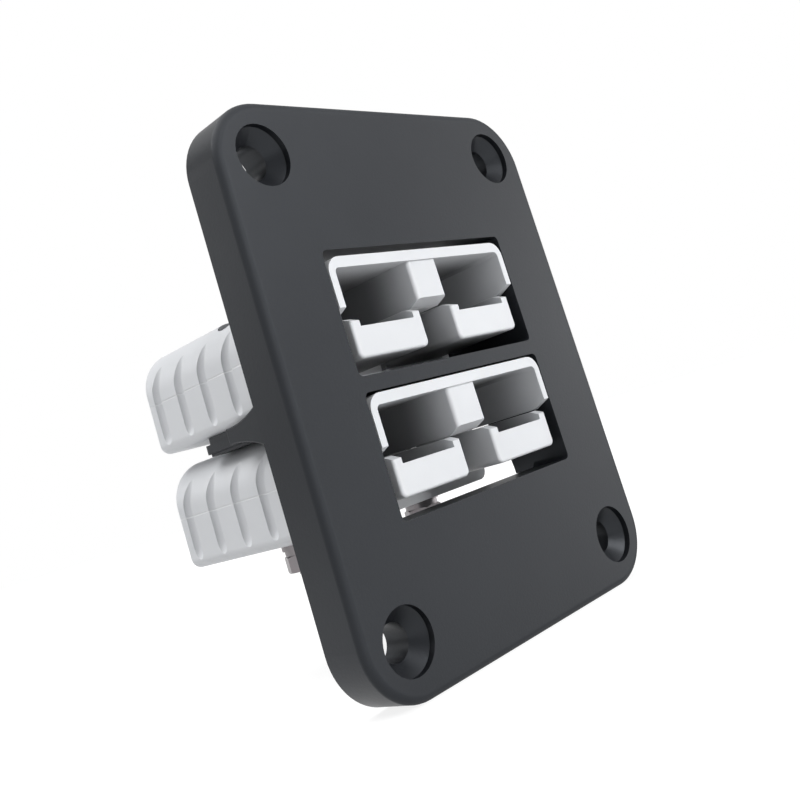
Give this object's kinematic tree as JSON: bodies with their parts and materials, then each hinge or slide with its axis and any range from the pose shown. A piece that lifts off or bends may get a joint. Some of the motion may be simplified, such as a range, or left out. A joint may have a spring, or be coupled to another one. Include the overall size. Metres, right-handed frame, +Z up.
{
  "type": "twin panel-mount genderless power connector",
  "caption": "Flush panel plate holding stacked genderless power connector housings on a rear shelf, clamped by long screws and nuts.",
  "frame": {"origin": "centre of the four fixing holes, on the rear mounting face of the plate", "axes": "+X to the right along the plate's width as seen from the front, +Y from the front to the rear through the panel, +Z up along the plate's height"},
  "size_m": [0.0612, 0.0484, 0.076],
  "materials": {
    "plate": "satin charcoal black moulded plastic",
    "housing": "light grey moulded plastic, slightly satin",
    "spring": "bright stainless strip",
    "fastener": "zinc-plated steel"
  },
  "bodies": {
    "root": {"mounting_plate": "plate", "housing_upper": "housing", "housing_lower": "housing", "spring_upper_left": "spring", "spring_upper_right": "spring", "spring_lower_left": "spring", "spring_lower_right": "spring", "head_washer_left": "fastener", "head_washer_right": "fastener", "screw_left": "fastener", "screw_right": "fastener", "flat_washer_left": "fastener", "flat_washer_right": "fastener", "lock_washer_left": "fastener", "lock_washer_right": "fastener", "nut_left": "fastener", "nut_right": "fastener"}
  },
  "joints": []
}
